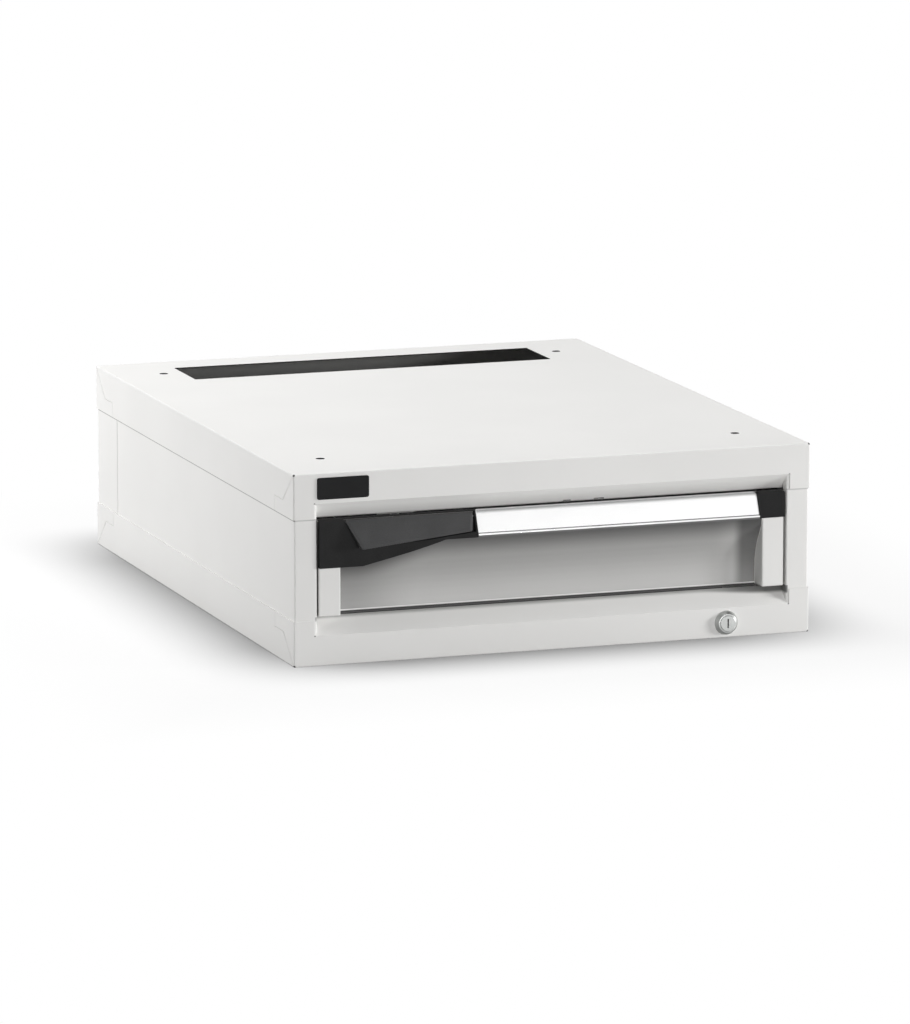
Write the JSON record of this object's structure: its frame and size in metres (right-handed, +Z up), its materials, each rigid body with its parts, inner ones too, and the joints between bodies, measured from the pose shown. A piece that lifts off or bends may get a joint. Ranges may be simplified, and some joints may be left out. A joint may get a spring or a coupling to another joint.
{
  "type": "drawer unit",
  "caption": "Low steel drawer unit: pale grey housing with a slotted top, full extension drawer with a wide label handle, thumb latch and cylinder lock.",
  "frame": {"origin": "on the floor under the centre of the housing's footprint", "axes": "+X to the right of someone facing the drawer, +Y to the back, +Z up; the drawer opens towards -Y"},
  "size_m": [0.564, 0.7186, 0.2],
  "materials": {
    "housing_paint": "fine textured pale grey powder coat",
    "drawer_paint": "fine textured pale grey powder coat",
    "zinc_steel": "zinc plated",
    "roller_plastic": "natural nylon",
    "buffer_rubber": "matt",
    "lock_metal": "satin chrome plated",
    "black_plastic": "matt moulded",
    "lever_plastic": "matt moulded",
    "badge_plastic": "matt",
    "handle_metal": "satin anodised",
    "label_paper": "matt white",
    "label_clear": "clear"
  },
  "bodies": {
    "housing": {"top_cover": "housing_paint", "base_tray": "housing_paint", "left_side_panel": "housing_paint", "right_side_panel": "housing_paint", "rear_panel": "housing_paint", "seam_rivets": "housing_paint", "left_uprights": "zinc_steel", "right_uprights": "zinc_steel", "left_cabinet_rail": "zinc_steel", "right_cabinet_rail": "zinc_steel", "cabinet_rail_rivets": "zinc_steel", "rail_buffers": "buffer_rubber", "badge_plate": "badge_plastic", "lock_barrel": "lock_metal", "lock_nut": "zinc_steel", "latch_strike": "zinc_steel", "strike_rivets": "zinc_steel"},
    "drawer": {"drawer_tray": "drawer_paint", "front_rivets": "drawer_paint", "left_drawer_rail": "zinc_steel", "right_drawer_rail": "zinc_steel", "drawer_rail_rivets": "zinc_steel", "lock_catch_plate": "zinc_steel", "catch_rivets": "zinc_steel", "drawer_front": "drawer_paint", "handle_profile": "handle_metal", "handle_screws": "zinc_steel", "label_strip": "label_paper", "label_cover": "label_clear", "latch_housing": "black_plastic", "right_end_cap": "black_plastic", "cap_screws": "zinc_steel", "latch_pin": "zinc_steel"},
    "left_runner": {"left_middle_rail": "zinc_steel", "left_roller_studs": "zinc_steel"},
    "right_runner": {"right_middle_rail": "zinc_steel", "right_roller_studs": "zinc_steel"},
    "latch": {"latch_lever": "lever_plastic", "latch_hook": "zinc_steel", "hook_rivet": "zinc_steel", "latch_spring": "zinc_steel"},
    "lock": {"lock_plug": "lock_metal", "lock_cam": "zinc_steel", "cam_screw": "zinc_steel"},
    "left_outer_roller_front": {"left_outer_roller_front": "roller_plastic"},
    "left_outer_roller_rear": {"left_outer_roller_rear": "roller_plastic"},
    "left_inner_roller_front": {"left_inner_roller_front": "roller_plastic"},
    "left_inner_roller_rear": {"left_inner_roller_rear": "roller_plastic"},
    "right_outer_roller_front": {"right_outer_roller_front": "roller_plastic"},
    "right_outer_roller_rear": {"right_outer_roller_rear": "roller_plastic"},
    "right_inner_roller_front": {"right_inner_roller_front": "roller_plastic"},
    "right_inner_roller_rear": {"right_inner_roller_rear": "roller_plastic"}
  },
  "joints": [
    {"name": "drawer_slide", "type": "slide", "parent": "housing", "child": "drawer", "axis": [0, -1, 0], "range_m": [0, 0.6]},
    {"name": "left_runner_slide", "type": "slide", "parent": "housing", "child": "left_runner", "axis": [0, -1, 0], "range_m": [0, 0.3]},
    {"name": "right_runner_slide", "type": "slide", "parent": "housing", "child": "right_runner", "axis": [0, -1, 0], "range_m": [0, 0.3]},
    {"name": "left_outer_roller_front_spin", "type": "hinge", "parent": "left_runner", "child": "left_outer_roller_front", "pos_m": [-0.2542, -0.0075, 0.092], "axis": [1, 0, 0], "range_deg": [0, 1325]},
    {"name": "left_outer_roller_rear_spin", "type": "hinge", "parent": "left_runner", "child": "left_outer_roller_rear", "pos_m": [-0.2542, 0.2675, 0.092], "axis": [1, 0, 0], "range_deg": [0, 1325]},
    {"name": "left_inner_roller_front_spin", "type": "hinge", "parent": "left_runner", "child": "left_inner_roller_front", "pos_m": [-0.2385, -0.3075, 0.092], "axis": [1, 0, 0], "range_deg": [0, 1325]},
    {"name": "left_inner_roller_rear_spin", "type": "hinge", "parent": "left_runner", "child": "left_inner_roller_rear", "pos_m": [-0.2385, -0.0325, 0.092], "axis": [1, 0, 0], "range_deg": [0, 1325]},
    {"name": "right_outer_roller_front_spin", "type": "hinge", "parent": "right_runner", "child": "right_outer_roller_front", "pos_m": [0.2542, -0.0075, 0.092], "axis": [1, 0, 0], "range_deg": [0, 1325]},
    {"name": "right_outer_roller_rear_spin", "type": "hinge", "parent": "right_runner", "child": "right_outer_roller_rear", "pos_m": [0.2542, 0.2675, 0.092], "axis": [1, 0, 0], "range_deg": [0, 1325]},
    {"name": "right_inner_roller_front_spin", "type": "hinge", "parent": "right_runner", "child": "right_inner_roller_front", "pos_m": [0.2385, -0.3075, 0.092], "axis": [1, 0, 0], "range_deg": [0, 1325]},
    {"name": "right_inner_roller_rear_spin", "type": "hinge", "parent": "right_runner", "child": "right_inner_roller_rear", "pos_m": [0.2385, -0.0325, 0.092], "axis": [1, 0, 0], "range_deg": [0, 1325]},
    {"name": "latch_turn", "type": "hinge", "parent": "drawer", "child": "latch", "pos_m": [-0.1586, -0.3505, 0.1455], "axis": [-1, 0, 0], "range_deg": [-4, 10], "stiffness_Nm_per_rad": 0.15},
    {"name": "lock_turn", "type": "hinge", "parent": "housing", "child": "lock", "pos_m": [0.1898, -0.3275, 0.01575], "axis": [0, 1, 0], "range_deg": [0, 90]}
  ],
  "couplings": [
    {"joint": "left_runner_slide", "follows": "drawer_slide", "ratio": 0.5},
    {"joint": "right_runner_slide", "follows": "drawer_slide", "ratio": 0.5},
    {"joint": "left_outer_roller_front_spin", "follows": "drawer_slide", "rad_per_m": 38.462},
    {"joint": "left_outer_roller_rear_spin", "follows": "drawer_slide", "rad_per_m": 38.462},
    {"joint": "left_inner_roller_front_spin", "follows": "drawer_slide", "rad_per_m": 38.462},
    {"joint": "left_inner_roller_rear_spin", "follows": "drawer_slide", "rad_per_m": 38.462},
    {"joint": "right_outer_roller_front_spin", "follows": "drawer_slide", "rad_per_m": 38.462},
    {"joint": "right_outer_roller_rear_spin", "follows": "drawer_slide", "rad_per_m": 38.462},
    {"joint": "right_inner_roller_front_spin", "follows": "drawer_slide", "rad_per_m": 38.462},
    {"joint": "right_inner_roller_rear_spin", "follows": "drawer_slide", "rad_per_m": 38.462}
  ]
}
